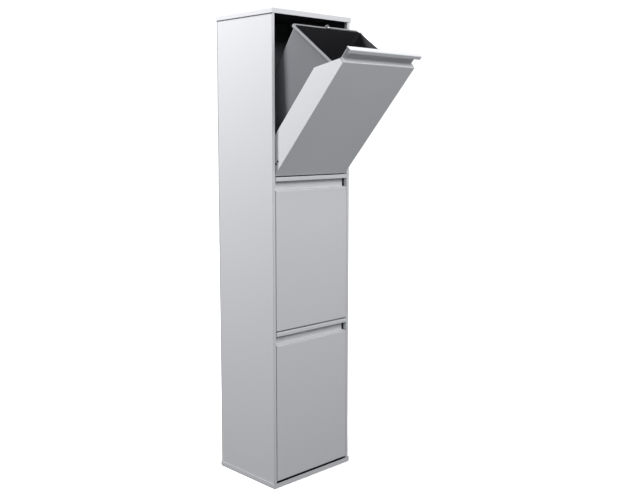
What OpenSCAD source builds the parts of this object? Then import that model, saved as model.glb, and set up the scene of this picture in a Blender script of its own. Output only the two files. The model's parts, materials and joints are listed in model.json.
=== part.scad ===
// Tall, narrow recycling station in folded sheet steel: three tilt-out flaps, one above the
// other, each carrying a lift-out plastic bin on a tray.
// Millimetres. X is the width, Y runs from the front to the back, +Z is up.
// The origin is the middle of the underside of the base pan.

/* [Cabinet] */
// Width across the base and cap pans
cabinet_w = 300; // [260:1:380]
// Depth from the front of the pans to their back
cabinet_d = 240; // [225:1:300]
// Height from the floor to the top of the cap
cabinet_h = 1315; // [1050:1:1600]
// Thickness of the sheet steel
sheet = 1; // [0.8:0.1:1.3]
// Radius of a fold, at the middle of the sheet
fold_r = 1.7; // [1.2:0.1:2]
// Height of the wall round the base and cap pans
pan_h = 14; // [10:0.5:25]
// Gap between the wall of a pan and the body that stands in it
pan_gap = 1; // [0.2:0.1:2]

/* [Side panels] */
// Width of the flange down each side of the front
front_flange_w = 10; // [8:0.5:20]
// Depth of the return behind that flange, which carries the pivots
return_d = 12; // [11:0.5:20]
// Width of the flange that the back panel is riveted to
rear_flange_w = 15; // [12:0.5:25]
// Width of the weld tabs at the top and bottom of a side panel
weld_tab_w = 12; // [8:0.5:16]
// How far the weld tabs keep from the front and the back
weld_tab_inset = 30; // [20:1:50]

/* [Flaps] */
// Angle that an open flap leans out at
open_angle = 41.6; // [20:0.1:45]
// Gap between a flap and the front flange beside it
flap_side_gap = 1.5; // [1.2:0.1:3]
// Gap between one flap and the next
flap_gap = 3.7; // [3:0.1:5]
// Gap under the lowest flap
bottom_gap = 4; // [3:0.1:8]
// Gap over the top flap
top_gap = 5.7; // [4:0.1:8]
// How far the pivot is behind the face of the flap
pivot_in = 5.5; // [5.5:0.1:6.5]
// How far the pivot is above the bottom edge of the flap
pivot_up = 8; // [6:0.1:10]
// Height of the grip band along the top of the flap
grip_h = 10.5; // [8:0.5:18]
// Height of the finger opening under the grip band
finger_h = 27; // [20:0.5:40]
// Depth of the finger recess
recess_d = 14.5; // [12:0.5:18]
// Rise of the sloping floor of the finger recess
bevel_h = 3; // [2:0.5:12]
// How much shorter the recess's back wall is at each end
neck_inset = 3.5; // [3:0.5:10]
// Depth of the fold under the flap
hem_d = 12; // [8:0.5:14]

/* [Cheeks] */
// Depth of a cheek behind the face of the flap
cheek_d = 71; // [60:1:100]
// Height of a cheek's rear edge
cheek_rear_h = 313; // [180:1:330]
// Gap between the top of a cheek and the sloping floor of the recess
cheek_top_gap = 2; // [1:0.5:4]

/* [Tray] */
// Height of the tray's underside above the bottom of the flap
tray_up = 8; // [4:0.5:12]
// Height of the tray's sides
tray_side_h = 20; // [10:1:40]
// Height of the tray's rear upstand
tray_rear_h = 12; // [8:1:25]
// Gap between the foot of the bin and the upstand behind it
tray_rear_gap = 9; // [2:0.5:15]

/* [Hinges] */
// Diameter of a hinge pin
pin_d = 5; // [4:0.1:5]
// Radial running clearance of the pin in its bush
pin_clearance = 0.05; // [0.02:0.01:0.1]
// Diameter of a pin's head
pin_head_d = 8; // [7:0.5:9]
// Thickness of a pin's head
pin_head_t = 2; // [1:0.1:3]
// Wall of the nylon bush
bush_wall = 0.7; // [0.5:0.05:0.8]
// Diameter of the bush's flange
bush_flange_d = 8; // [7.5:0.1:8.2]
// Thickness of the bush's flange
bush_flange_t = 0.9; // [0.6:0.1:1]
// How far a bush stands behind the wall that it sits in
bush_stand = 3; // [2:0.5:5]
// Thickness of a hinge plate
hinge_plate_t = 3; // [2:0.5:5]
// Depth of a hinge plate
hinge_plate_d = 27; // [24:0.5:32]
// Height of a hinge plate
hinge_plate_h = 47; // [47:0.5:52]
// Diameter of a rivet's shank
rivet_d = 3.2; // [2.4:0.1:4]
// Diameter of a rivet's head
rivet_head_d = 6; // [5:0.1:7]
// Height of a rivet's head
rivet_head_h = 0.9; // [0.6:0.1:1]
// Distance of the hinge rivets behind the face
hinge_rivet_in = 16.5; // [15:0.5:20]
// Height of the lower hinge rivet above the bottom of the flap
hinge_rivet_up = 31; // [26:0.5:33]
// Distance between the two hinge rivets
hinge_rivet_pitch = 9.5; // [8:0.5:11]

/* [Stops] */
// Diameter of the rubber buffer that stops an open flap
buffer_d = 8; // [6:0.5:10]
// How far a buffer stands out of the cheek
buffer_l = 6; // [4:0.5:8]
// Height of the buffer above the pivot when the flap is open
buffer_up = 78; // [60:1:90]
// Diameter of the buffer's stem through the cheek
buffer_stem_d = 3; // [2:0.5:4]
// Gap left at either stop, so that the pieces don't overlap
stop_gap = 0.3; // [0.2:0.1:1]
// Height of a closing stop above the bottom of its flap
closing_stop_up = 240; // [200:1:260]
// Length of a closing stop
closing_stop_l = 20; // [10:1:40]
// How far a closing stop reaches past the cheek's inner face
closing_stop_lap = 2; // [1:0.5:4]

/* [Bins] */
// Gap between the bin's rim and a cheek
bin_side_gap = 4.5; // [4:0.5:15]
// Gap between the bin's rim and the back wall of the finger recess
bin_front_gap = 4.5; // [4.5:0.5:12]
// Gap between the bin's rim and the rear flanges
bin_rear_gap = 12; // [8:0.5:25]
// Gap between the swing of the bin's rear corner and the shelf over it
swing_gap = 5.5; // [2:0.1:8]
// Gap between the foot of the bin and its tray
bin_seat_gap = 0.3; // [0.2:0.1:1]
// Wall of the bin
bin_wall = 2.5; // [1.5:0.1:4]
// How much the bin narrows to its foot on the left and on the right
bin_draft_side = 13; // [4:0.5:20]
// How much the bin narrows to its foot in front
bin_draft_front = 10; // [4:0.5:15]
// How much the bin narrows to its foot at the back
bin_draft_rear = 28; // [10:0.5:40]
// Radius of the bin's upright corners
bin_corner_r = 12; // [8:1:35]
// Width of the bin's rim outside the wall
rim_w = 6; // [5:0.5:10]
// Depth of the rim's turned-down edge
rim_h = 5.5; // [5:0.5:15]
// Thickness of the rim
rim_t = 2.2; // [1.5:0.1:3]
// Slope of the rim in degrees: its front stands higher than its rear
rim_slope = 5.5; // [0:0.5:8]

/* [Bin handles] */
// Diameter of the handle's wire
wire_d = 4; // [3:0.1:5]
// How far the wire lies inside the outer edge of the rim
handle_inset = 5; // [5:0.5:8]
// Radius of the handle's corners, at the middle of the wire
handle_corner_r = 14; // [8:1:20]
// Gap between the wire and the rim that it rests on
handle_rest_gap = 0.4; // [0.3:0.1:1]
// Radial running clearance of the wire in its lugs
lug_clearance = 0.05; // [0.02:0.01:0.1]
// Thickness of a handle lug
lug_t = 2.5; // [2:0.1:3]
// Width of a handle lug
lug_w = 14; // [10:0.5:20]
// Gap between a lug and the wire beside it
lug_gap = 0.4; // [0.3:0.1:1]
// How far the ends of the wire stand out of the lugs
wire_end = 1.5; // [1:0.5:2]

/* [Shelves] */
// Height of the flanges under a shelf
shelf_flange_h = 10; // [6:0.5:14]
// How far the top of a shelf is below the flap over it
shelf_drop = 4; // [3:0.5:8]
// How far the front of a shelf is behind the face of the flaps
shelf_in = 23; // [20:0.5:40]

/* [Back panel] */
// Diameter of the two wall-fixing holes
wall_hole_d = 6; // [4:0.5:8]
// Distance between the wall-fixing holes
wall_hole_pitch = 120; // [80:1:240]
// Distance of the wall-fixing holes below the top of the cap
wall_hole_drop = 80; // [30:1:150]
// Number of rivets down each side of the back panel
back_rivets_each_side = 6; // [3:1:10]
// Distance of the end rivets from the ends of the back panel
back_rivet_inset = 40; // [20:1:80]

/* [Hidden] */
LEVELS = ["lower", "middle", "upper"];
CABINET_PIECES = ["base_pan", "top_cap", "left_side_panel", "right_side_panel", "back_panel",
                  "back_rivets", "lower_shelf", "upper_shelf", "pivot_bushes", "closing_stops"];
FLAP_PIECES = ["flap_panel", "left_cheek", "right_cheek", "bin_tray", "hinge_plates",
               "hinge_pins", "hinge_rivets", "stop_buffers", "bin", "bin_handle"];

$fn = 48;
fold_steps = 6;
corner_steps = 8;
slab = 0.01;
through = 1;

paint = "#d4d5d8";
paint_side = "#dcdde0";
polypropylene = "#85868a";
nylon = "#2b2c2e";
rubber = "#232425";
zinc = "#b9bbbf";

half_d = cabinet_d / 2;
body_half_w = cabinet_w / 2 - sheet - pan_gap;
front_y = -half_d + sheet + pan_gap;
back_panel_y = half_d - 2 * sheet - pan_gap;
wall_h = cabinet_h - 2 * sheet;
frame_half_w = body_half_w - front_flange_w;

flap_half_w = frame_half_w - flap_side_gap;
flap_pitch = (cabinet_h - 2 * pan_h - bottom_gap - top_gap + flap_gap) / len(LEVELS);
flap_h = flap_pitch - flap_gap;
face_h = flap_h - grip_h - finger_h;
neck_y = recess_d + sheet;
cheek_in = flap_half_w - sheet;

shelf_low = flap_pitch - shelf_drop - shelf_flange_h;
tray_top = tray_up + sheet;

rim_half_w = cheek_in - bin_side_gap;
rim_front = neck_y + bin_front_gap;
rim_rear = back_panel_y - sheet - bin_rear_gap - front_y;
swing_r = shelf_low - pivot_up - swing_gap;
wire_top = pivot_up + sqrt(pow(swing_r, 2) - pow(rim_rear - pivot_in, 2));
wire_z = wire_top - wire_d / 2;
rim_top = wire_z - wire_d / 2 - handle_rest_gap;
bin_foot = tray_top + bin_seat_gap;
foot_half_w = rim_half_w - rim_w - bin_draft_side;
foot_front = rim_front + rim_w + bin_draft_front;
foot_rear = rim_rear - rim_w - bin_draft_rear;

wire_side = rim_half_w - handle_inset - wire_d / 2;
wire_front = rim_front + handle_inset + wire_d / 2;
wire_rear = rim_rear - handle_inset - wire_d / 2;
lug_front = wire_front - wire_d / 2 - lug_gap - lug_t;
lug_rear = wire_rear + wire_d / 2 + lug_gap;

bush_d = pin_d + 2 * pin_clearance + 2 * bush_wall;
pin_end = frame_half_w + sheet + bush_stand;
buffer_open = [return_d - pivot_in + buffer_d / 2 + stop_gap, buffer_up];
buffer_at = [pivot_in, pivot_up] + turned(buffer_open, -open_angle);

// Vector of unit length along v
function unit(v) = v / norm(v);
// v turned a quarter turn to the left
function left_of(v) = [-v[1], v[0]];
// v turned anticlockwise by angle; with Y to the right and Z up, that is how a flap opens
function turned(v, angle) = [
    v[0] * cos(angle) - v[1] * sin(angle),
    v[0] * sin(angle) + v[1] * cos(angle)
];
// Which way the path a, b, c turns at b: 1 to the left, -1 to the right
function turn_side(a, b, c) = sign(cross(b - a, c - b));
// Arc at the corner b of the path a, b, c, side being how far to the left of the path it runs
function corner_arc(a, b, c, r, side) =
    let (
        way = turn_side(a, b, c),
        before = unit(b - a),
        angle = acos(before * unit(c - b)),
        start = b - before * r * tan(angle / 2),
        centre = start + way * r * left_of(before),
        spoke = -way * left_of(before)
    )
    [for (k = [0:fold_steps]) centre + (r - way * side) * turned(spoke, way * angle * k / fold_steps)];
// One side of a folded strip whose middle follows the path p
function strip_side(p, r, side) =
    let (n = len(p) - 1)
    concat(
        [p[0] + side * left_of(unit(p[1] - p[0]))],
        [for (i = [1:n - 1]) for (q = corner_arc(p[i - 1], p[i], p[i + 1], r, side)) q],
        [p[n] + side * left_of(unit(p[n] - p[n - 1]))]
    );
// The points of list p from the last to the first
function backwards(p) = [for (i = [len(p) - 1:-1:0]) p[i]];
// Height of the bottom of the flap at a level
function flap_z(level) = pan_h + bottom_gap + level * flap_pitch;
// Height of rivet k of the back panel
function back_rivet_z(k) =
    back_rivet_inset + k * (cabinet_h - 2 * back_rivet_inset) / (back_rivets_each_side - 1);

// Section of a folded sheet whose middle follows the path p
module folded(p) {
    polygon(concat(strip_side(p, fold_r, sheet / 2), backwards(strip_side(p, fold_r, -sheet / 2))));
}

// Rectangle with round corners, from x0 to x1 and y0 to y1
module round_rect(x0, x1, y0, y1, r) {
    centres = [[x1 - r, y1 - r], [x0 + r, y1 - r], [x0 + r, y0 + r], [x1 - r, y0 + r]];
    polygon([
        for (i = [0:3])
            for (k = [0:corner_steps])
                centres[i] + r * [cos(90 * (i + k / corner_steps)), sin(90 * (i + k / corner_steps))]
    ]);
}

// Cylinder along X, from x0 to x1, at height z and depth y
module rod_x(x0, x1, y, z, d) {
    translate([x0, y, z]) rotate([0, 90, 0]) cylinder(d = d, h = x1 - x0);
}

// Extrudes a section drawn in Y and Z along X, from x0 to x1
module along_x(x0, x1) {
    translate([x0, 0, 0]) rotate([90, 0, 90]) linear_extrude(height = x1 - x0) children();
}

// Extrudes a section drawn in X and Z along Y, from y0 to y1
module along_y(y0, y1) {
    translate([0, y1, 0]) rotate([90, 0, 0]) linear_extrude(height = y1 - y0) children();
}

// The child and its mirror image on the other side of the cabinet
module both_sides() {
    children();
    mirror([1, 0, 0]) children();
}

// Places a flap's pieces at their level, turned open by angle about the pivot.
// In a flap's own frame Y is the depth behind its face and Z the height above its bottom edge.
module at_flap(level, angle) {
    translate([0, front_y + pivot_in, flap_z(level) + pivot_up])
        rotate([angle, 0, 0])
            translate([0, -pivot_in, -pivot_up]) children();
}

// Outer or inner form of a pan, smaller by inset on each side; its floor is folded up all round
module pan_form(inset, r) {
    half_w = cabinet_w / 2 - inset;
    half = half_d - inset;
    intersection() {
        along_y(-half, half) pan_section(half_w, inset, r);
        along_x(-half_w, half_w) pan_section(half, inset, r);
    }
}

// Section of pan_form, from -half to half, with its two lower corners rounded
module pan_section(half, inset, r) {
    polygon(concat(
        [[half, pan_h + inset], [-half, pan_h + inset]],
        [for (k = [0:fold_steps])
            [-half + r - r * cos(90 * k / fold_steps), inset + r - r * sin(90 * k / fold_steps)]],
        [for (k = [0:fold_steps])
            [half - r + r * sin(90 * k / fold_steps), inset + r - r * cos(90 * k / fold_steps)]]
    ));
}

// Shallow pan with its floor at z = 0
module pan() {
    difference() {
        pan_form(0, fold_r + sheet / 2);
        pan_form(sheet, fold_r - sheet / 2);
    }
}

module base_pan() {
    color(paint) pan();
}

module top_cap() {
    color(paint) translate([0, 0, cabinet_h]) mirror([0, 0, 1]) pan();
}

// Side panel on the left: front flange and its return, side wall and rear flange, folded from
// one sheet, with weld tabs that meet the floor of each pan
module left_side_panel_sheet() {
    mid = sheet / 2;
    difference() {
        translate([0, 0, sheet]) linear_extrude(height = wall_h) folded([
            [-frame_half_w - mid, front_y + return_d],
            [-frame_half_w - mid, front_y + mid],
            [-body_half_w + mid, front_y + mid],
            [-body_half_w + mid, back_panel_y - mid],
            [-body_half_w + rear_flange_w, back_panel_y - mid]
        ]);
        for (level = [0:len(LEVELS) - 1])
            rod_x(-frame_half_w - sheet - through, -frame_half_w + through,
                  front_y + pivot_in, flap_z(level) + pivot_up, bush_d);
        left_back_rivet_holes();
    }
    for (z = [sheet, cabinet_h - 2 * sheet])
        translate([-body_half_w + sheet, front_y + weld_tab_inset, z])
            cube([weld_tab_w, back_panel_y - front_y - 2 * weld_tab_inset, sheet]);
}

// Holes for the rivets down the left side of the back panel
module left_back_rivet_holes() {
    for (k = [0:back_rivets_each_side - 1])
        translate([-body_half_w + rear_flange_w / 2, back_panel_y + sheet + through, back_rivet_z(k)])
            rotate([90, 0, 0]) cylinder(d = rivet_d, h = 2 * sheet + 2 * through);
}

module left_side_panel() {
    color(paint_side) left_side_panel_sheet();
}

module right_side_panel() {
    color(paint_side) mirror([1, 0, 0]) left_side_panel_sheet();
}

module back_panel() {
    color(paint) difference() {
        translate([-body_half_w, back_panel_y, sheet]) cube([2 * body_half_w, sheet, wall_h]);
        both_sides() {
            left_back_rivet_holes();
            translate([wall_hole_pitch / 2, back_panel_y + sheet + through, cabinet_h - wall_hole_drop])
                rotate([90, 0, 0]) cylinder(d = wall_hole_d, h = sheet + 2 * through);
        }
    }
}

// Rivet along +Z with its low domed head on top of z = 0 and its shank below
module rivet(grip) {
    translate([0, 0, -grip]) cylinder(d = rivet_d, h = grip);
    cylinder(d1 = rivet_head_d, d2 = rivet_head_d - 2 * rivet_head_h, h = rivet_head_h);
}

module back_rivets() {
    color(zinc) both_sides()
        for (k = [0:back_rivets_each_side - 1])
            translate([-body_half_w + rear_flange_w / 2, back_panel_y + sheet, back_rivet_z(k)])
                rotate([-90, 0, 0]) rivet(2 * sheet);
}

// Shelf over the compartment of a level: a plate with flanges folded down at its two sides,
// and at its front and back
module shelf(level) {
    half_w = body_half_w - sheet;
    mid = sheet / 2;
    top = flap_z(level + 1) - shelf_drop;
    y0 = front_y + shelf_in;
    y1 = back_panel_y - sheet - fold_r;
    color(paint) {
        along_y(y0, y1) folded([
            [-half_w + mid, top - shelf_flange_h],
            [-half_w + mid, top - mid],
            [half_w - mid, top - mid],
            [half_w - mid, top - shelf_flange_h]
        ]);
        for (y = [y0, y1 - sheet])
            translate([-half_w + 2 * sheet, y, top - shelf_flange_h])
                cube([2 * half_w - 4 * sheet, sheet, shelf_flange_h - sheet]);
    }
}

module lower_shelf() {
    shelf(0);
}

module upper_shelf() {
    shelf(1);
}

// Flanged bushes in the returns, one each side at every level
module pivot_bushes() {
    barrel_l = sheet + bush_stand;
    color(nylon) both_sides()
        for (level = [0:len(LEVELS) - 1])
            translate([frame_half_w, front_y + pivot_in, flap_z(level) + pivot_up])
                rotate([0, 90, 0]) difference() {
                    union() {
                        cylinder(d = bush_d, h = barrel_l);
                        translate([0, 0, -bush_flange_t]) cylinder(d = bush_flange_d, h = bush_flange_t);
                    }
                    translate([0, 0, -bush_flange_t - through])
                        cylinder(d = pin_d + 2 * pin_clearance, h = barrel_l + bush_flange_t + 2 * through);
                }
}

// Angles on the side walls that the cheeks' rear edges come back to when a flap is shut
module closing_stops() {
    inner_x = cheek_in - closing_stop_lap;
    front_of_stop = front_y + cheek_d + stop_gap;
    leg = body_half_w - sheet - inner_x;
    color(paint) both_sides()
        for (level = [0:len(LEVELS) - 1])
            translate([inner_x, front_of_stop, flap_z(level) + closing_stop_up]) {
                cube([leg, sheet, closing_stop_l]);
                translate([leg - sheet, sheet, 0]) cube([sheet, leg, closing_stop_l]);
            }
}

// Front sheet of a flap: hem, face, sloping recess floor, neck, top and grip band in one fold
module flap_panel() {
    mid = sheet / 2;
    color(paint) difference() {
        along_x(-flap_half_w, flap_half_w) folded([
            [hem_d, mid],
            [mid, mid],
            [mid, face_h],
            [neck_y - mid, face_h + bevel_h],
            [neck_y - mid, flap_h - mid],
            [mid, flap_h - mid],
            [mid, flap_h - grip_h]
        ]);
        both_sides()
            translate([flap_half_w - neck_inset, sheet + through, face_h + bevel_h])
                cube([neck_inset + through, neck_y, flap_h - face_h - bevel_h - fold_r - mid]);
    }
}

// Holes through a cheek or hinge plate on the right, for the pin and the two rivets
module hinge_holes() {
    x0 = cheek_in - hinge_plate_t - through;
    x1 = flap_half_w + through;
    rod_x(x0, x1, pivot_in, pivot_up, pin_d);
    for (k = [0:1]) rod_x(x0, x1, hinge_rivet_in, hinge_rivet_up + k * hinge_rivet_pitch, rivet_d);
}

module right_cheek_sheet() {
    top = face_h + bevel_h * (neck_y - sheet) / neck_y - cheek_top_gap;
    color(paint_side) difference() {
        along_x(cheek_in, flap_half_w) polygon([
            [sheet, sheet + fold_r],
            [sheet + fold_r, sheet],
            [cheek_d, sheet],
            [cheek_d, cheek_rear_h],
            [neck_y - sheet, top],
            [sheet, face_h - cheek_top_gap]
        ]);
        hinge_holes();
        rod_x(cheek_in - through, flap_half_w + through, buffer_at[0], buffer_at[1], buffer_stem_d);
    }
}

module right_cheek() {
    right_cheek_sheet();
}

module left_cheek() {
    mirror([1, 0, 0]) right_cheek_sheet();
}

// Tray between the cheeks that the bin stands on, notched in front round the hinge plates and
// the heads of the pins
module bin_tray() {
    mid = sheet / 2;
    rear = foot_rear + tray_rear_gap + sheet;
    notch_w = hinge_plate_t + pin_head_t + stop_gap;
    color(paint) difference() {
        union() {
            along_y(sheet, rear) folded([
                [-cheek_in + mid, tray_up + tray_side_h],
                [-cheek_in + mid, tray_up + mid],
                [cheek_in - mid, tray_up + mid],
                [cheek_in - mid, tray_up + tray_side_h]
            ]);
            translate([-cheek_in + 2 * sheet, rear - sheet, tray_top])
                cube([2 * cheek_in - 4 * sheet, sheet, tray_rear_h - sheet]);
        }
        both_sides()
            translate([cheek_in - notch_w, 0, 0])
                cube([notch_w + through, hinge_plate_d + stop_gap, hinge_plate_h]);
    }
}

module hinge_plates() {
    color(zinc) both_sides() difference() {
        along_x(cheek_in - hinge_plate_t, cheek_in) polygon([
            [sheet, sheet + fold_r],
            [sheet + fold_r, sheet],
            [hinge_plate_d, sheet],
            [hinge_plate_d, hinge_plate_h],
            [hinge_plate_d / 2, hinge_plate_h],
            [sheet, hinge_plate_h / 2]
        ]);
        hinge_holes();
    }
}

module hinge_pins() {
    head_x = cheek_in - hinge_plate_t;
    color(zinc) both_sides() {
        rod_x(head_x - pin_head_t, head_x, pivot_in, pivot_up, pin_head_d);
        rod_x(head_x, pin_end, pivot_in, pivot_up, pin_d);
    }
}

module hinge_rivets() {
    color(nylon) both_sides()
        for (k = [0:1])
            translate([flap_half_w, hinge_rivet_in, hinge_rivet_up + k * hinge_rivet_pitch])
                rotate([0, 90, 0]) rivet(sheet + hinge_plate_t);
}

// Rubber buffers pushed through the cheeks; they meet the rear edges of the returns
module stop_buffers() {
    color(rubber) both_sides() {
        rod_x(flap_half_w, flap_half_w + buffer_l, buffer_at[0], buffer_at[1], buffer_d);
        rod_x(cheek_in, flap_half_w, buffer_at[0], buffer_at[1], buffer_stem_d);
        rod_x(cheek_in - sheet, cheek_in, buffer_at[0], buffer_at[1], 2 * buffer_stem_d);
    }
}

// Tips what is drawn on a level rim to the rim's slope, about the rim's rear edge
module at_rim() {
    translate([0, rim_rear, rim_top]) rotate([-rim_slope, 0, 0])
        translate([0, -rim_rear, -rim_top]) children();
}

// Tapered form of a bin, shrunk by wall on every side, from z0 up to z1 on the rim's slope
module bin_form(wall, z0, z1) {
    hull() {
        translate([0, 0, z0]) linear_extrude(height = slab) bin_outline(wall, z0);
        at_rim() translate([0, 0, z1 - slab]) linear_extrude(height = slab) bin_outline(wall, z1);
    }
}

// Outline of the bin's wall at height z, shrunk by wall on every side
module bin_outline(wall, z) {
    rise = (z - bin_foot) / (rim_top - bin_foot);
    half_w = foot_half_w + rise * bin_draft_side - wall;
    round_rect(-half_w, half_w,
               foot_front - rise * bin_draft_front + wall,
               foot_rear + rise * bin_draft_rear - wall, bin_corner_r - wall);
}

// Slab of the rim's outline, smaller by inset on every side, from z0 up to z1
module rim_slab(inset, z0, z1) {
    translate([0, 0, z0]) linear_extrude(height = z1 - z0)
        round_rect(-rim_half_w + inset, rim_half_w - inset, rim_front + inset, rim_rear - inset,
                   bin_corner_r + rim_w - inset);
}

// Lug on the rim at depth y, thick towards +Y
module handle_lug(y) {
    along_y(y, y + lug_t) difference() {
        union() {
            translate([-lug_w / 2, rim_top - rim_t]) square([lug_w, wire_z - rim_top + rim_t]);
            translate([0, wire_z]) circle(d = lug_w / 2 + wire_d);
        }
        translate([0, wire_z]) circle(d = wire_d + 2 * lug_clearance);
    }
}

module bin() {
    color(polypropylene) {
        difference() {
            union() {
                bin_form(0, bin_foot, rim_top);
                at_rim() difference() {
                    rim_slab(0, rim_top - rim_h, rim_top);
                    rim_slab(rim_t, rim_top - rim_h - through, rim_top - rim_t);
                }
            }
            bin_form(bin_wall, bin_foot + bin_wall, rim_top + through);
        }
        at_rim() {
            handle_lug(lug_front);
            handle_lug(lug_rear);
        }
    }
}

// Quarter bend of the wire in the XY plane, from +X round to +Y, about a centre
module wire_bend(centre, r, start) {
    translate([centre[0], centre[1], wire_z]) rotate([0, 0, start])
        rotate_extrude(angle = 90) translate([r, 0]) circle(d = wire_d);
}

// Straight stretch of wire from p to q
module wire_run(p, q) {
    way = q - p;
    translate([p[0], p[1], wire_z]) rotate([0, 0, atan2(way[1], way[0])])
        rotate([0, 90, 0]) cylinder(d = wire_d, h = norm(way));
}

// Bail handle folded down to the right, its ends turned out through the lugs
module bin_handle() {
    r = handle_corner_r;
    end_r = wire_d / 2 + slab;
    end_front = lug_front - wire_end;
    end_rear = lug_rear + lug_t + wire_end;
    color(zinc) at_rim() {
        wire_run([0, end_front], [0, wire_front - end_r]);
        wire_bend([end_r, wire_front - end_r], end_r, 90);
        wire_run([end_r, wire_front], [wire_side - r, wire_front]);
        wire_bend([wire_side - r, wire_front + r], r, 270);
        wire_run([wire_side, wire_front + r], [wire_side, wire_rear - r]);
        wire_bend([wire_side - r, wire_rear - r], r, 0);
        wire_run([wire_side - r, wire_rear], [end_r, wire_rear]);
        wire_bend([end_r, wire_rear + end_r], end_r, 180);
        wire_run([0, wire_rear + end_r], [0, end_rear]);
    }
}

base_pan();
top_cap();
left_side_panel();
right_side_panel();
back_panel();
back_rivets();
lower_shelf();
upper_shelf();
pivot_bushes();
closing_stops();
for (level = [0:len(LEVELS) - 1]) {
    name = str(LEVELS[level], "_");
    angle = LEVELS[level] == "upper" ? open_angle : 0;
    at_flap(level, angle) flap_panel();
    at_flap(level, angle) left_cheek();
    at_flap(level, angle) right_cheek();
    at_flap(level, angle) bin_tray();
    at_flap(level, angle) hinge_plates();
    at_flap(level, angle) hinge_pins();
    at_flap(level, angle) hinge_rivets();
    at_flap(level, angle) stop_buffers();
    at_flap(level, angle) bin();
    at_flap(level, angle) bin_handle();
}
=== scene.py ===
# %% [markdown]
# # A recycling station with three tilt-out bins
# A tall, narrow cabinet of folded steel sheet holds three flaps, one above the other. Each flap tilts
# out on two hinge pins and carries a plastic bin with a wire handle. The steel was laid out in CAD and
# comes in as a fixed frame. Here the sheets get softened edges and their powder coat, and the bins,
# handles and small hardware are modelled by hand around the same frame. Everything is in metres.

# %% Load the fixed frame
import json
import math

import bmesh
import bpy
from mathutils import Matrix, Vector


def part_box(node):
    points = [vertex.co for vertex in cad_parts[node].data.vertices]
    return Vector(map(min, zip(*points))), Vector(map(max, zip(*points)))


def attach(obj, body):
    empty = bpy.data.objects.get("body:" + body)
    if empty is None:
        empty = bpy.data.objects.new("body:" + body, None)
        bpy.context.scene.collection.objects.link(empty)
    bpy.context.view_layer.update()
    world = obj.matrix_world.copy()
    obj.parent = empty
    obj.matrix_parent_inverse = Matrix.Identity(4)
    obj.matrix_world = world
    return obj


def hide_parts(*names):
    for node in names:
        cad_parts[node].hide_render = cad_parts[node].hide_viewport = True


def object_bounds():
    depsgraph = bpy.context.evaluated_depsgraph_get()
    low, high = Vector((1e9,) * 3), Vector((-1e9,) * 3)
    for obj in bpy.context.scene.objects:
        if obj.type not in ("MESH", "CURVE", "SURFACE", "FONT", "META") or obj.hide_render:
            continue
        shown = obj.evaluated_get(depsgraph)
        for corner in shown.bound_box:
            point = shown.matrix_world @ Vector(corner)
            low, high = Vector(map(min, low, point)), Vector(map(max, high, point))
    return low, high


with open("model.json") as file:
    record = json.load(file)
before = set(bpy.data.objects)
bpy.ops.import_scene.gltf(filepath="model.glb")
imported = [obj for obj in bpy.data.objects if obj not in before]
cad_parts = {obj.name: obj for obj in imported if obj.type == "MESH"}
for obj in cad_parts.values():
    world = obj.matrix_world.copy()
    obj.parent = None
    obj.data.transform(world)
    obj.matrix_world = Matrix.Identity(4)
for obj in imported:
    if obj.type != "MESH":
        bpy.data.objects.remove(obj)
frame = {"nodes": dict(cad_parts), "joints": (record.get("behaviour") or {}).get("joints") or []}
cad_box = [list(corner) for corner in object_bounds()]
print("CAD box, metres:", cad_box)

# %% [markdown]
# ## Camera
# The camera stands to the left in front of the cabinet, a little under its middle third, and looks
# slightly down. A lens of about 48 mm keeps the upright edges nearly parallel.

# %% Camera
CAMERA_PLACE = (-1.6407, -1.8258, 0.9853)
CAMERA_TURN = 0.7682
CAMERA_DIP = 0.1109
CAMERA_LENS = 48.35
CAMERA_SHIFT = -0.035
camera_data = bpy.data.cameras.new("camera")
camera_data.sensor_width = 36
camera_data.lens = CAMERA_LENS
camera_data.shift_y = CAMERA_SHIFT
camera = bpy.data.objects.new("camera", camera_data)
bpy.context.scene.collection.objects.link(camera)
camera.location = CAMERA_PLACE
camera.rotation_euler = (math.pi / 2 - CAMERA_DIP, 0, -CAMERA_TURN)
bpy.context.scene.camera = camera
print("camera at", CAMERA_PLACE)

# %% [markdown]
# ## Colours and nodes
# Finishes are built from shader nodes. Colours are chosen as sRGB hex values, as in a paint chart, and
# one function turns them into the linear values that the renderer works in. One more function adds any
# node, sets it up and wires its inputs.

# %% Helpers for finishes
MM = 0.001


def linear(hex_colour):
    """Linear RGBA of an sRGB hex colour such as #d4d5d8"""
    parts = [int(hex_colour[k:k + 2], 16) / 255 for k in (1, 3, 5)]
    return [p / 12.92 if p <= 0.04045 else ((p + 0.055) / 1.055) ** 2.4 for p in parts] + [1]


def add_node(tree, kind, settings=None, links=None):
    """Adds a node: settings are its input values and properties, links feed its inputs"""
    node = tree.nodes.new(kind)
    for name, value in (settings or {}).items():
        if isinstance(name, int) or name in node.inputs:
            node.inputs[name].default_value = value
        else:
            setattr(node, name, value)
    for name, output in (links or {}).items():
        tree.links.new(output, node.inputs[name])
    return node


def new_finish(name, settings):
    """An empty finish: its material, node tree, main shader and object coordinates"""
    material = bpy.data.materials.new(name)
    material.use_nodes = True
    tree = material.node_tree
    tree.nodes.clear()
    shader = add_node(tree, "ShaderNodeBsdfPrincipled", settings)
    add_node(tree, "ShaderNodeOutputMaterial", links={"Surface": shader.outputs["BSDF"]})
    place = add_node(tree, "ShaderNodeTexCoord").outputs["Object"]
    return material, tree, shader, place


def speckle(tree, place, size, detail=2.0):
    """Soft random pattern whose lumps are about size metres wide"""
    settings = {"Scale": 1 / size, "Detail": detail, "Roughness": 0.5}
    return add_node(tree, "ShaderNodeTexNoise", settings, {"Vector": place}).outputs["Fac"]


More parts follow.
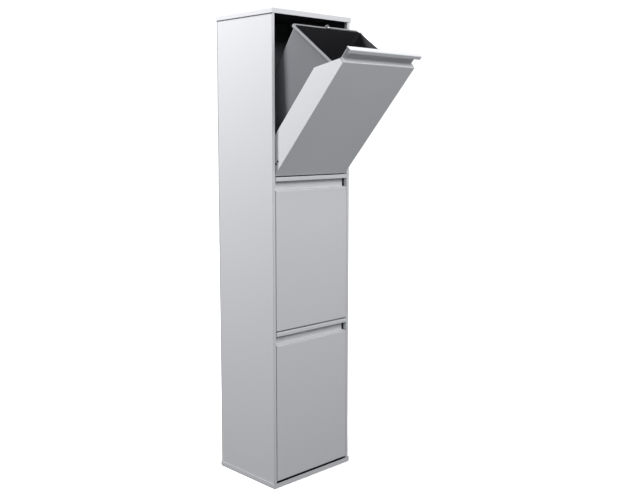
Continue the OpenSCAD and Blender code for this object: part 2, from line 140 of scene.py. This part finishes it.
def tint(tree, shader, pattern, first, second):
    """Lets the base colour drift between two hex colours with a pattern"""
    colours = {"data_type": "RGBA", 6: linear(first), 7: linear(second)}
    mix = add_node(tree, "ShaderNodeMix", colours, {0: pattern})
    tree.links.new(mix.outputs[2], shader.inputs["Base Color"])


def roughen(tree, shader, pattern, low, high):
    """Lets the roughness drift between two values with a pattern"""
    span = {"From Min": 0.3, "From Max": 0.7, "To Min": low, "To Max": high}
    spread = add_node(tree, "ShaderNodeMapRange", span, {"Value": pattern})
    tree.links.new(spread.outputs["Result"], shader.inputs["Roughness"])


def emboss(tree, shader, pattern, height):
    """Raises the surface by up to height metres with a pattern"""
    bump = add_node(tree, "ShaderNodeBump", {"Strength": 1.0, "Distance": height}, {"Height": pattern})
    tree.links.new(bump.outputs["Normal"], shader.inputs["Normal"])


# %% [markdown]
# ## Powder-coated steel
# Polyester powder is sprayed dry on the bent and welded sheets, clings by its charge and melts in an
# oven. The film is satin, and its surface tension leaves a faint orange peel, about 2 to 3 mm from lump
# to lump. It is drawn at 5 mm, because the real one is too fine to show. The colour hardly varies: a
# slow drift of half a tone keeps large faces from looking like flat card.

# %% Light grey powder coat
ORANGE_PEEL = 5 * MM
SLOW_DRIFT = 350 * MM


def powder_coat(name, light, dark):
    """Satin polyester powder coat in two close tones"""
    material, tree, shader, place = new_finish(name, {"IOR": 1.5, "Metallic": 0.0})
    tint(tree, shader, speckle(tree, place, SLOW_DRIFT), light, dark)
    roughen(tree, shader, speckle(tree, place, 30 * MM), 0.44, 0.52)
    emboss(tree, shader, speckle(tree, place, ORANGE_PEEL, 1.0), 0.05 * MM)
    return material


light_coat = powder_coat("powder_coat_light_grey", "#dadbde", "#d7d8db")
print("finish:", light_coat.name)

# %% [markdown]
# The inside of the cabinet gets painted shade: the same powder in a dark charcoal grey stands for the
# shadow in the closed compartments, so they read as deep dark spaces behind the bins.

# %% Painted shade: charcoal powder coat of the inner faces
painted_shade_coat = powder_coat("painted_shade_charcoal", "#5e5f64", "#58595d")
print("finish:", painted_shade_coat.name)

# %% [markdown]
# ## Moulded polypropylene
# The bins are injection moulded. Polypropylene is slightly waxy, so its gloss is soft and broad, and the
# mould is spark eroded to a fine matt grain of about half a millimetre, drawn here at 1.5 mm so that it
# can be seen. The outside is mid grey and the inside is charcoal.

# %% Bin plastics
GRAIN = 1.5 * MM


def moulded_plastic(name, light, dark, settings, low, high):
    """Grained moulded plastic in two close tones"""
    material, tree, shader, place = new_finish(name, settings)
    tint(tree, shader, speckle(tree, place, 60 * MM), light, dark)
    roughen(tree, shader, speckle(tree, place, 12 * MM), low, high)
    emboss(tree, shader, speckle(tree, place, GRAIN, 1.0), 0.03 * MM)
    return material


bin_grey = moulded_plastic("polypropylene_grey", "#7c7d81", "#76777b", {"IOR": 1.49}, 0.40, 0.48)
bin_charcoal = moulded_plastic("polypropylene_charcoal", "#26262a", "#222226", {"IOR": 1.49}, 0.50, 0.58)
print("finishes:", bin_grey.name, bin_charcoal.name)

# %% [markdown]
# The hinge bushes are turned from black nylon, harder and a little glossier. The stop buffers are EPDM
# rubber, which is matt and dusty looking, and so nearly without a highlight.

# %% Nylon and rubber
black_nylon = moulded_plastic("nylon_black", "#2b2c2e", "#262729", {"IOR": 1.53}, 0.34, 0.42)
black_rubber = moulded_plastic("rubber_black", "#262626", "#1e1e1e", {"IOR": 1.52}, 0.72, 0.85)
print("finishes:", black_nylon.name, black_rubber.name)

# %% [markdown]
# ## Bare and plated metals
# Zinc is plated on the pins and plates from a bath, and hot-dipped on the drawn wire of the handles. It
# gives a bright, slightly cloudy grey. Rivet heads are pressed, and those on the cheeks are blackened.
# A metal's colour is its reflection, so these are fully metallic and keep the usual IOR.

# %% Metals
CLOUD = 8 * MM


def metal(name, light, dark, low, high):
    """Plated or bare metal whose colour and gloss are slightly cloudy"""
    material, tree, shader, place = new_finish(name, {"Metallic": 1.0})
    tint(tree, shader, speckle(tree, place, CLOUD), light, dark)
    roughen(tree, shader, speckle(tree, place, 3 * MM), low, high)
    emboss(tree, shader, speckle(tree, place, 1 * MM, 1.0), 0.01 * MM)
    return material


bright_wire = metal("galvanised_wire", "#e6e8ea", "#d9dbde", 0.24, 0.34)
zinc_plate = metal("zinc_plated_steel", "#c2c4c8", "#adafb4", 0.30, 0.42)
rivet_metal = metal("aluminium_rivet", "#cfd0d2", "#bcbdc0", 0.34, 0.46)
black_metal = metal("blackened_steel", "#2c2c2f", "#232326", 0.38, 0.50)
print("finishes:", bright_wire.name, zinc_plate.name, rivet_metal.name, black_metal.name)

# %% [markdown]
# ## Working on one piece at a time
# An operator acts on whatever is selected, and the frame arrives selected. So each piece is taken alone
# first, and faces and edges are picked by where they are and which way they point.

# %% Helpers for modelling


def take(piece):
    """Selects one piece alone and makes it the active one"""
    bpy.ops.object.select_all(action="DESELECT")
    piece.select_set(True)
    bpy.context.view_layer.objects.active = piece


def settle(name):
    """Names a new primitive and writes its place into its mesh"""
    piece = bpy.context.active_object
    piece.name = name
    take(piece)
    bpy.ops.object.transform_apply(location=True, rotation=True, scale=True)
    return piece


def pick(piece, kind, wanted):
    """In edit mode, selects just the faces or edges that pass a test"""
    bpy.ops.mesh.select_mode(type=kind)
    bpy.ops.mesh.select_all(action="DESELECT")
    shape = bmesh.from_edit_mesh(piece.data)
    parts = shape.faces if kind == "FACE" else shape.edges
    found = [part for part in parts if wanted(part)]
    for part in found:
        part.select_set(True)
    shape.select_flush_mode()
    bmesh.update_edit_mesh(piece.data)
    return len(found)


def all_at(height):
    """Test for edges that lie level at one height"""
    return lambda edge: all(abs(v.co.z - height) < 1e-5 for v in edge.verts)


def extrude(way):
    """Extrudes what is selected by a vector"""
    bpy.ops.mesh.extrude_region_move(TRANSFORM_OT_translate={"value": way})


def modify(piece, kind, **settings):
    """Adds a modifier with its settings and applies it"""
    take(piece)
    modifier = piece.modifiers.new(kind.lower(), kind)
    for name, value in settings.items():
        setattr(modifier, name, value)
    bpy.ops.object.modifier_apply(modifier=modifier.name)


def smooth(piece, degrees=35):
    """Shades a piece smooth except where it bends sharply"""
    take(piece)
    bpy.ops.object.shade_smooth_by_angle(angle=math.radians(degrees))
    modify(piece, "WEIGHTED_NORMAL", keep_sharp=True, weight=50)


def coat(piece, *materials):
    """Gives a piece its materials, in the order of its face indices"""
    piece.data.materials.clear()
    for material in materials:
        piece.data.materials.append(material)


# %% [markdown]
# ## Places on the flaps
# All three flaps are alike, so each of their pieces is modelled once on a shut flap at the origin and
# then set in place. The top flap stands open. Its hinge line and angle come from the frame's joints.

# %% Where each flap is
LEVELS = ("lower", "middle", "upper")
joints = {joint["name"]: joint for joint in frame["joints"]}
PIVOT_ON_FLAP = Vector((0, 5.5 * MM, 8 * MM))


def flap_matrix(level):
    """Carries a shut flap at the origin to its place, turned open where it stands open"""
    tilt = joints[level + "_flap_tilt"]
    turn = Matrix.Rotation(-math.radians(tilt["range_deg"][0]), 4, "X")
    return Matrix.Translation(Vector(tilt["pos_m"])) @ turn @ Matrix.Translation(-PIVOT_ON_FLAP)


flap_at = {level: flap_matrix(level) for level in LEVELS}


def solids(node, placed=Matrix.Identity(4)):
    """Lowest and highest corners of a CAD node's separate solids, as they were before it was placed"""
    back = placed.inverted()
    shape = bmesh.new()
    shape.from_mesh(frame["nodes"][node].data)
    bmesh.ops.remove_doubles(shape, verts=shape.verts, dist=1e-6)
    left = set(shape.verts)
    found = []
    while left:
        island = [left.pop()]
        for vertex in island:
            near = {edge.other_vert(vertex) for edge in vertex.link_edges} & left
            left -= near
            island.extend(near)
        points = [back @ vertex.co for vertex in island]
        low = Vector([min(p[k] for p in points) for k in range(3)])
        high = Vector([max(p[k] for p in points) for k in range(3)])
        found.append((low, high))
    shape.free()
    return sorted(found, key=lambda corners: tuple(corners[0]))


def hand_out(model, node, body, places):
    """Copies a model to each place, joins the copies into one piece, and lets it stand for a CAD node"""
    bpy.ops.object.select_all(action="DESELECT")
    copies = []
    for k, place in enumerate(places):
        copy = bpy.data.objects.new(f"{node}_part_{k}", model.data.copy())
        copy.data.transform(place)
        bpy.context.scene.collection.objects.link(copy)
        copy.select_set(True)
        copies.append(copy)
    bpy.context.view_layer.objects.active = copies[0]
    if len(copies) > 1:
        bpy.ops.object.join()
    piece = bpy.context.active_object
    piece.name = node + "_piece"
    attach(piece, body)
    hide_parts(node)
    return piece


def put_away(model):
    """Removes a model once its copies are made"""
    bpy.data.objects.remove(model)


for level in LEVELS:
    print(level, "flap's hinge:", tuple(round(v, 3) for v in flap_at[level] @ PIVOT_ON_FLAP))

# %% [markdown]
# ## Sheets with softened edges
# A laser leaves the edge of a 1 mm sheet square, then it is deburred and the powder flows round it. A
# copy of each CAD sheet therefore gets a small bevel on its cut edges, which catches the light, while
# its folds are shaded as one smooth bend. A CAD mesh is loose triangles, so its copy is merged first.

# %% Softened copy of a CAD sheet
CUT_EDGE = 0.25 * MM


def softened(node, body, inner=None):
    """Stands for a CAD sheet: same shape, rounded cut edges, and charcoal painted shade on its inner faces
    """
    piece = bpy.data.objects.new(node + "_coated", frame["nodes"][node].data.copy())
    bpy.context.scene.collection.objects.link(piece)
    take(piece)
    bpy.ops.object.mode_set(mode="EDIT")
    bpy.ops.mesh.select_all(action="SELECT")
    bpy.ops.mesh.customdata_custom_splitnormals_clear()
    bpy.ops.mesh.remove_doubles(threshold=1e-6)
    bpy.ops.mesh.dissolve_limited(angle_limit=math.radians(0.5))
    bpy.ops.object.mode_set(mode="OBJECT")
    coat(piece, light_coat, painted_shade_coat)
    # Faces that the inner test picks get the charcoal painted shade, the others the light grey coat.
    for face in piece.data.polygons:
        face.material_index = 1 if inner and inner(face.center, face.normal) else 0
    modify(piece, "BEVEL", width=CUT_EDGE, segments=2, limit_method="ANGLE",
           angle_limit=math.radians(40), use_clamp_overlap=False)
    smooth(piece)
    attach(piece, body)
    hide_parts(node)
    return piece


# %% [markdown]
# ## Cabinet
# Two side panels, each folded from one sheet with a front flange, its return and a rear flange, stand
# between two shallow pans. The back panel is riveted on. Outer faces are light grey, and inner faces
# get charcoal painted shade.

# %% Cabinet sheets
SIDE_INSIDE = 147.2 * MM
RETURN_WALL = 139.5 * MM
BEHIND_FLANGE = -116.8 * MM


def inside_side_panel(middle, normal):
    """Inner faces of a side panel that get painted shade: wall, rear of the front flange, front of the
    rear flange
    """
    on_wall = RETURN_WALL < abs(middle.x) < SIDE_INSIDE and middle.y > BEHIND_FLANGE
    return on_wall or (middle.y > 115 * MM and normal.y < -0.5)


def inside_pan(middle, normal):
    """Inner faces of the pan at the foot or the top, which get painted shade"""
    low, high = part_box("base_pan")
    within = abs(middle.x) < high.x - 0.8 * MM and abs(middle.y) < high.y - 0.8 * MM
    deep = 0.8 * MM < middle.z < cad_box[1][2] - 0.8 * MM
    return within and deep


def facing_front(middle, normal):
    """Faces that look towards the front; on the back panel these are its inner faces, which get painted
    shade
    """
    return normal.y < -0.5


for node in ("left_side_panel", "right_side_panel"):
    softened(node, "cabinet", inside_side_panel)
for node in ("base_pan", "top_cap"):
    softened(node, "cabinet", inside_pan)
softened("back_panel", "cabinet", facing_front)
# The shelves and closing stops inside the cabinet get the charcoal painted shade all over.
for node in ("lower_shelf", "upper_shelf", "closing_stops"):
    coat(frame["nodes"][node], painted_shade_coat)
print("cabinet sheets coated")

# %% [markdown]
# ## Flaps
# Each flap is a front sheet with a bent recess and a grip band, two cheeks behind its sides, and a tray
# that the bin stands on. Thick hinge plates inside the cheeks hold the pins.

# %% Flap sheets
for level in LEVELS:
    for sheet in ("flap_panel", "left_cheek", "right_cheek"):
        softened(f"{level}_{sheet}", level + "_flap")
    coat(frame["nodes"][level + "_bin_tray"], light_coat)
    coat(frame["nodes"][level + "_hinge_plates"], zinc_plate)
print("flap sheets coated")

# %% [markdown]
# ## Bin
# A tapered tub with a rolled rim that slopes up to the front. It is modelled from the rim inwards: a
# rounded plate is inset to leave the rim, its outer edge is turned down for the skirt, and the whole is
# tipped to its slope. Then the middle is pushed down and drawn in for the walls and the level floor.
# Only at the end does the sheet get its wall thickness.

# %% Bin sizes
RIM_SLOPE = math.radians(5.5)
RIM_HALF = 131 * MM
RIM_FRONT = 20 * MM
RIM_REAR = 222 * MM
RIM_TOP = 339.35 * MM
RIM_CORNER = 18 * MM
RIM_SKIRT = 5.5 * MM
RIM_ROLL = 2.2 * MM
RIM_TO_MOUTH = 8.4 * MM
WALL = 2.4 * MM
FOOT_HALF = 112 * MM
FOOT_FRONT = 36 * MM
FOOT_REAR = 188 * MM
FOOT_ROUND = 5 * MM
FLOOR_RISE = 1.5 * MM
rim_edge = Vector((0, RIM_REAR, RIM_TOP))
tipped = Matrix.Translation(rim_edge) @ Matrix.Rotation(-RIM_SLOPE, 4, "X") @ Matrix.Translation(-rim_edge)
rim_at = {level: flap_at[level] @ tipped for level in LEVELS}
bin_low, bin_high = solids("lower_bin", flap_at["lower"])[0]
print("bin on its flap, metres:", tuple(bin_low), tuple(bin_high))


def tip(piece):
    """Tips a piece drawn on a level rim to the rim's slope"""
    piece.matrix_world = tipped
    take(piece)
    bpy.ops.object.transform_apply(location=True, rotation=True, scale=True)


# %% Rim plate and skirt
rim_w = 2 * RIM_HALF
rim_d = RIM_REAR - RIM_FRONT
rim_middle = (RIM_REAR + RIM_FRONT) / 2
bpy.ops.mesh.primitive_plane_add(size=1, location=(0, rim_middle, RIM_TOP))
bpy.context.active_object.scale = (rim_w, rim_d, 1)
shell = settle("bin_shell")
bpy.ops.object.mode_set(mode="EDIT")
bpy.ops.mesh.select_all(action="SELECT")
bpy.ops.mesh.bevel(affect="VERTICES", offset=RIM_CORNER, segments=8)
pick(shell, "FACE", lambda face: True)
bpy.ops.mesh.inset(thickness=RIM_TO_MOUTH, depth=0)
pick(shell, "EDGE", lambda edge: edge.is_boundary)
extrude((0, 0, -RIM_SKIRT))
level_at_top = all_at(RIM_TOP)


def rim_outer_edge(edge):
    """Test for the outer edge of the rim's flat top"""
    beside_skirt = [face for face in edge.link_faces if abs(face.normal.z) < 0.3]
    return level_at_top(edge) and len(beside_skirt) == 1


pick(shell, "EDGE", rim_outer_edge)
bpy.ops.mesh.bevel(affect="EDGES", offset=RIM_ROLL, segments=4)
bpy.ops.object.mode_set(mode="OBJECT")
tip(shell)
print("rim faces:", len(shell.data.polygons))

# %% [markdown]
# The mouth is now one face. Pushed down, flattened and scaled to the foot, it leaves the four tapered
# walls behind it. The floor gets a generous moulded radius and a shallow raised panel that stiffens it.

# %% Walls and floor
bpy.ops.object.mode_set(mode="EDIT")
pick(shell, "FACE", lambda face: len(face.verts) > 20)
floor_top = bin_low.z + WALL
extrude((0, 0, floor_top - RIM_TOP))
bpy.ops.transform.resize(value=(1, 1, 0), center_override=(0, 0, floor_top))
corners = [vertex.co for vertex in bmesh.from_edit_mesh(shell.data).verts if vertex.select]
near = min(corner.y for corner in corners)
far = max(corner.y for corner in corners)
half = max(corner.x for corner in corners)
floor_half = FOOT_HALF - WALL
floor_d = FOOT_REAR - FOOT_FRONT - 2 * WALL
bpy.ops.transform.resize(value=(floor_half / half, floor_d / (far - near), 1),
                         center_override=(0, (near + far) / 2, floor_top))
bpy.ops.transform.translate(value=(0, (FOOT_FRONT + FOOT_REAR - near - far) / 2, 0))
pick(shell, "EDGE", all_at(floor_top))
bpy.ops.mesh.bevel(affect="EDGES", offset=FOOT_ROUND, segments=4)
pick(shell, "FACE", lambda face: face.normal.z > 0.99 and face.calc_center_median().z < 0.05)
floor_middle = (0, (FOOT_FRONT + FOOT_REAR) / 2, floor_top)
for rise, share in ((0, 0.88), (FLOOR_RISE, 0.97)):
    extrude((0, 0, rise))
    bpy.ops.transform.resize(value=(share, share, 1), center_override=floor_middle)
bpy.ops.object.mode_set(mode="OBJECT")
print("bin sheet faces:", len(shell.data.polygons))

# %% Bin wall thickness and finish
coat(shell, bin_grey, bin_charcoal)
for face in shell.data.polygons:
    outwards = face.center - Vector((0, rim_middle, face.center.z))
    inner = face.center.z < 50 * MM or face.normal.dot(outwards.normalized()) < -0.5
    face.material_index = 1 if inner else 0
modify(shell, "SOLIDIFY", thickness=WALL, offset=-1, use_even_offset=True, material_offset=-1)
modify(shell, "BEVEL", width=0.4 * MM, segments=2, limit_method="ANGLE",
       angle_limit=math.radians(60), use_clamp_overlap=False)
print("bin shell faces:", len(shell.data.polygons))

# %% [markdown]
# The wire pivots in two small lugs, one at the middle of each long side of the rim. Each lug starts as a
# block with its two top corners rounded off, then every edge is eased and it is joined to the shell.

# %% Handle lugs
handle_low, handle_high = solids("lower_bin_handle", rim_at["lower"])[0]
WIRE = handle_high.z - handle_low.z
wire_z = (handle_low.z + handle_high.z) / 2
LUG_W = 14 * MM
LUG_T = 2.5 * MM
LUG_FRONT = 22.1 * MM
LUG_REAR = 217.4 * MM
LUG_SHOULDER = 5.5 * MM
LUG_SUNK = 2.2 * MM
lug_top = wire_z + LUG_SHOULDER
lug_foot = RIM_TOP - LUG_SUNK


def model_lug(depth):
    """Lug with rounded shoulders, from depth towards the rear"""
    bpy.ops.mesh.primitive_cube_add(size=1, location=(0, depth + LUG_T / 2, (lug_top + lug_foot) / 2))
    bpy.context.active_object.scale = (LUG_W, LUG_T, lug_top - lug_foot)
    lug = settle("lug")
    bpy.ops.object.mode_set(mode="EDIT")

    def shoulder(edge):
        along_y = abs(edge.verts[0].co.y - edge.verts[1].co.y) > LUG_T / 2
        return along_y and all(v.co.z > wire_z for v in edge.verts)

    pick(lug, "EDGE", shoulder)
    bpy.ops.mesh.bevel(affect="EDGES", offset=LUG_SHOULDER, segments=6)
    bpy.ops.object.mode_set(mode="OBJECT")
    coat(lug, bin_grey, bin_charcoal)
    modify(lug, "BEVEL", width=0.4 * MM, segments=2, limit_method="ANGLE", angle_limit=math.radians(50))
    tip(lug)
    return lug


lugs = [model_lug(LUG_FRONT), model_lug(LUG_REAR)]
bpy.ops.object.select_all(action="DESELECT")
for part in (shell, *lugs):
    part.select_set(True)
bpy.context.view_layer.objects.active = shell
bpy.ops.object.join()
smooth(shell)
for level in LEVELS:
    hand_out(shell, level + "_bin", level + "_bin", [flap_at[level]])
put_away(shell)
print("three bins, lugs up to", lug_top)

# %% [markdown]
# ## Handle
# The bail is one length of 4 mm galvanised wire. It is drawn as it would be bent: a disc is pushed along
# each straight run and spun round each bend, from the end in the front lug to the end in the rear one.

# %% Bent wire handle
WIRE_END = 1.5 * MM
WIRE_PLAY = 0.4 * MM
CORNER = 14 * MM
TIGHT = 2.1 * MM
wire_side = handle_high.x - WIRE / 2
wire_front = LUG_FRONT + LUG_T + WIRE_PLAY + WIRE / 2
wire_rear = LUG_REAR - WIRE_PLAY - WIRE / 2
end_front = LUG_FRONT - WIRE_END
end_rear = LUG_REAR + LUG_T + WIRE_END
bends = [
    ((0, wire_front - TIGHT), (TIGHT, wire_front - TIGHT), -1),
    ((wire_side - CORNER, wire_front), (wire_side - CORNER, wire_front + CORNER), 1),
    ((wire_side, wire_rear - CORNER), (wire_side - CORNER, wire_rear - CORNER), 1),
    ((TIGHT, wire_rear), (TIGHT, wire_rear + TIGHT), -1),
]
bpy.ops.mesh.primitive_circle_add(vertices=14, radius=WIRE / 2, fill_type="NGON",
                                  location=(0, end_front, wire_z), rotation=(math.pi / 2, 0, 0))
wire = settle("wire")
bpy.ops.object.mode_set(mode="EDIT")
bpy.ops.mesh.select_all(action="SELECT")
here = Vector((0, end_front))
for start, centre, turn in bends:
    step = Vector(start) - here
    extrude((step.x, step.y, 0))
    bpy.ops.mesh.spin(steps=8, angle=math.pi / 2, center=(*centre, wire_z), axis=(0, 0, -turn))
    arm = Vector(start) - Vector(centre)
    here = Vector(centre) + turn * Vector((-arm.y, arm.x))
extrude((0, end_rear - here.y, 0))
bpy.ops.mesh.select_all(action="SELECT")
bpy.ops.mesh.remove_doubles(threshold=1e-6)
bpy.ops.mesh.normals_make_consistent(inside=False)
bpy.ops.object.mode_set(mode="OBJECT")
coat(wire, bright_wire)
modify(wire, "BEVEL", width=0.4 * MM, segments=2, limit_method="ANGLE", angle_limit=math.radians(60))
smooth(wire)
print("wire reaches x", max(v.co.x for v in wire.data.vertices), "and CAD", handle_high.x)
for level in LEVELS:
    hand_out(wire, level + "_bin_handle", level + "_handle", [rim_at[level]])
put_away(wire)

# %% [markdown]
# ## Turned hardware
# Rivets, pins, bushes and buffers are all round. Each is modelled standing on the origin: a ring is
# pushed up and widened or narrowed step by step along the profile, as on a lathe, then capped.

# %% Turned piece
SIDES = 28


def turned(name, profile, material, hollow=False):
    """Round piece along +Z through (radius, height) points; a hollow one closes on itself"""
    radius, height = profile[0]
    bpy.ops.mesh.primitive_circle_add(vertices=SIDES, radius=radius, fill_type="NOTHING",
                                      location=(0, 0, height))
    piece = settle(name)
    bpy.ops.object.mode_set(mode="EDIT")
    bpy.ops.mesh.select_all(action="SELECT")
    for wider, higher in profile[1:]:
        extrude((0, 0, higher - height))
        share = wider / radius
        bpy.ops.transform.resize(value=(share, share, 1), center_override=(0, 0, higher))
        radius, height = wider, higher
    if not hollow:
        bpy.ops.mesh.edge_face_add()
        pick(piece, "EDGE", lambda edge: edge.is_boundary)
        bpy.ops.mesh.edge_face_add()
    bpy.ops.mesh.select_all(action="SELECT")
    bpy.ops.mesh.remove_doubles(threshold=1e-6)
    bpy.ops.mesh.normals_make_consistent(inside=False)
    bpy.ops.object.mode_set(mode="OBJECT")
    coat(piece, material)
    smooth(piece)
    return piece


def facing(x, y, z, way):
    """Places a turned piece at a point with its axis along a direction"""
    turn = Vector((0, 0, 1)).rotation_difference(Vector(way)).to_matrix().to_4x4()
    return Matrix.Translation((x, y, z)) @ turn


# %% [markdown]
# The hinge rivets are blind rivets: a low domed head with the small crater where the mandrel snapped.
# Two sit in each cheek and clamp the hinge plate behind it.

# %% Rivets
HEAD_H = 0.9 * MM


def rivet_profile(grip):
    """Profile from the end of the shank up to the crater in the head"""
    steps = [(1.2, -grip), (1.6, 0.3 - grip), (1.6, 0), (3.0, 0), (3.0, 0.15), (2.8, 0.42),
             (2.35, 0.68), (1.7, 0.85), (0.95, 0.9), (0.7, 0.82), (0.6, 0.45)]
    return [(radius * MM, height * MM) for radius, height in steps]


hinge_rivet = turned("hinge_rivet", rivet_profile(4.0), black_metal)
back_rivet = turned("back_rivet", rivet_profile(2.0), rivet_metal)
for level in LEVELS:
    places = []
    for low, high in solids(level + "_hinge_rivets", flap_at[level]):
        side = 1 if low.x > 0 else -1
        head = max(abs(low.x), abs(high.x)) - HEAD_H
        places.append(flap_at[level] @ facing(side * head, (low.y + high.y) / 2,
                                              (low.z + high.z) / 2, (side, 0, 0)))
    hand_out(hinge_rivet, level + "_hinge_rivets", level + "_flap", places)
places = []
for low, high in solids("back_rivets"):
    places.append(facing((low.x + high.x) / 2, high.y - HEAD_H, (low.z + high.z) / 2, (0, 1, 0)))
hand_out(back_rivet, "back_rivets", "cabinet", places)
put_away(hinge_rivet)
put_away(back_rivet)
print("rivets on the back:", len(places))

# %% [markdown]
# A hinge pin is a headed pin with a chamfered nose, pressed through the plate and turning in a flanged
# nylon bush in the cabinet's return. The bush has a lead-in at both ends of its bore.

# %% Hinge pins and bushes
pin_steps = [(2.1, 9.5), (2.5, 9.0), (2.5, 0), (4.0, 0), (4.0, -1.4), (3.4, -2.0), (1.6, -2.0),
             (1.2, -1.7)]
pin = turned("hinge_pin", [(radius * MM, height * MM) for radius, height in pin_steps], zinc_plate)
bush_steps = [(2.75, -0.9), (3.7, -0.9), (4.0, -0.6), (4.0, 0), (3.25, 0), (3.25, 3.7), (2.95, 4.0),
              (2.75, 4.0), (2.55, 3.8), (2.55, -0.7), (2.75, -0.9)]
bush_points = [(radius * MM, height * MM) for radius, height in bush_steps]
bush = turned("pivot_bush", bush_points, black_nylon, hollow=True)
HEAD_X = 132.5 * MM
FRAME_X = 138 * MM
for level in LEVELS:
    places = [flap_at[level] @ facing(side * HEAD_X, PIVOT_ON_FLAP.y, PIVOT_ON_FLAP.z, (side, 0, 0))
              for side in (-1, 1)]
    hand_out(pin, level + "_hinge_pins", level + "_flap", places)
places = []
for low, high in solids("pivot_bushes"):
    side = 1 if low.x > 0 else -1
    middle = (low + high) / 2
    places.append(facing(side * FRAME_X, middle.y, middle.z, (side, 0, 0)))
hand_out(bush, "pivot_bushes", "cabinet", places)
put_away(pin)
put_away(bush)
print("bushes:", len(places))

# %% [markdown]
# The buffers are moulded rubber plugs pulled through a hole in the cheek. A collar holds them inside, and
# a rounded nose with a small dimple meets the cabinet's return when the flap is fully open.

# %% Stop buffers
buffer_steps = [(1.6, -2.0), (2.7, -2.0), (3.0, -1.7), (3.0, -1.0), (1.5, -1.0), (1.5, 0), (3.8, 0),
                (4.0, 0.25), (4.0, 5.0), (3.7, 5.6), (3.0, 6.0), (1.4, 6.0), (1.0, 5.5)]
buffer_points = [(radius * MM, height * MM) for radius, height in buffer_steps]
buffer = turned("stop_buffer", buffer_points, black_rubber)
CHEEK_X = 136.5 * MM
for level in LEVELS:
    places = []
    for low, high in solids(level + "_stop_buffers", flap_at[level]):
        side = 1 if low.x > 0 else -1
        middle = (low + high) / 2
        places.append(flap_at[level] @ facing(side * CHEEK_X, middle.y, middle.z, (side, 0, 0)))
    hand_out(buffer, level + "_stop_buffers", level + "_flap", places)
put_away(buffer)
print("buffers on a flap:", len(places))

# %% [markdown]
# ## Floor
# A large sheet of matt white paper, as in a product studio.

# %% Floor
FLOOR_SIZE = 60
bpy.ops.mesh.primitive_plane_add(size=FLOOR_SIZE, location=(0, 0, 0))
floor = bpy.context.active_object
floor.name = "paper_floor"
paper, tree, shader, place = new_finish("matt_paper", {"Roughness": 0.9, "IOR": 1.45})
tint(tree, shader, speckle(tree, place, 0.5), "#f4f4f4", "#f1f1f1")
coat(floor, paper)
floor.visible_diffuse = False
floor.visible_glossy = False
print("floor laid")

# %% [markdown]
# ## Light
# The main soft box stands high to the left and a little behind, so the left wall is brightest at the
# top and the open compartment stays dark. A wider, weaker one high in front lights the flaps and leaves
# a shadow under each grip band. A sun that only the floor receives keeps the paper white.

# %% Soft boxes and floor light


def soft_box(name, place, aim, size, power):
    """Square area light at a place, turned towards a point"""
    data = bpy.data.lights.new(name, "AREA")
    data.shape = "SQUARE"
    data.size = size
    data.energy = power
    box = bpy.data.objects.new(name, data)
    bpy.context.scene.collection.objects.link(box)
    box.location = place
    box.rotation_euler = (Vector(aim) - Vector(place)).to_track_quat("-Z", "Y").to_euler()
    return box


key = soft_box("key_box", (-1.46, 1.12, 3.20), (0, 0, 1.2), 0.8, 139)
fill = soft_box("fill_box", (-0.15, -2.20, 2.45), (0, 0, 0.8), 1.8, 62)
floor_only = bpy.data.collections.new("floor_only")
floor_only.objects.link(floor)
sun_data = bpy.data.lights.new("floor_sun", "SUN")
sun_data.energy = 3.6
sun_data.angle = math.radians(70)
sun = bpy.data.objects.new("floor_sun", sun_data)
bpy.context.scene.collection.objects.link(sun)
sun.light_linking.receiver_collection = floor_only
print("lights:", key.name, fill.name, sun.name)

# %% [markdown]
# The room itself adds a weak, even light. It comes from the white floor below and from the ceiling, and
# hardly at all from eye level, so that the sides keep their shading. Reflections see pale grey walls,
# and the camera sees white behind the cabinet.

# %% Surroundings
FROM_FLOOR = (0.225, 0.238, 0.249, 1)
FROM_EYE_LEVEL = (0.07, 0.07, 0.072, 1)
FROM_CEILING = (0.22, 0.22, 0.23, 1)
PALE_WALLS = (0.6, 0.6, 0.61, 1)
WHITE = (1, 1, 1, 1)
world = bpy.data.worlds.new("studio")
bpy.context.scene.world = world
world.use_nodes = True
tree = world.node_tree
tree.nodes.clear()
way = add_node(tree, "ShaderNodeTexCoord").outputs["Generated"]
height = add_node(tree, "ShaderNodeSeparateXYZ", links={0: way}).outputs["Z"]
ramp_in = add_node(tree, "ShaderNodeMapRange", {"From Min": -1.0, "From Max": 1.0}, {"Value": height})
ramp = add_node(tree, "ShaderNodeValToRGB", links={0: ramp_in.outputs["Result"]})
steps = ramp.color_ramp.elements
steps[0].position = 0.0
steps[0].color = FROM_FLOOR
steps[1].position = 1.0
steps[1].color = FROM_CEILING
eye_level = steps.new(0.5)
eye_level.color = FROM_EYE_LEVEL
soft = add_node(tree, "ShaderNodeBackground", {"Strength": 1.0}, {"Color": ramp.outputs["Color"]})
walls = add_node(tree, "ShaderNodeBackground", {"Color": PALE_WALLS, "Strength": 1.0})
white = add_node(tree, "ShaderNodeBackground", {"Color": WHITE, "Strength": 1.1})
ray = add_node(tree, "ShaderNodeLightPath").outputs
around = add_node(tree, "ShaderNodeMixShader",
                  links={0: ray["Is Glossy Ray"], 1: soft.outputs[0], 2: walls.outputs[0]})
both = add_node(tree, "ShaderNodeMixShader",
                links={0: ray["Is Camera Ray"], 1: around.outputs[0], 2: white.outputs[0]})
add_node(tree, "ShaderNodeOutputWorld", links={"Surface": both.outputs[0]})
bpy.context.scene.view_settings.view_transform = "Standard"
print("surroundings ready")
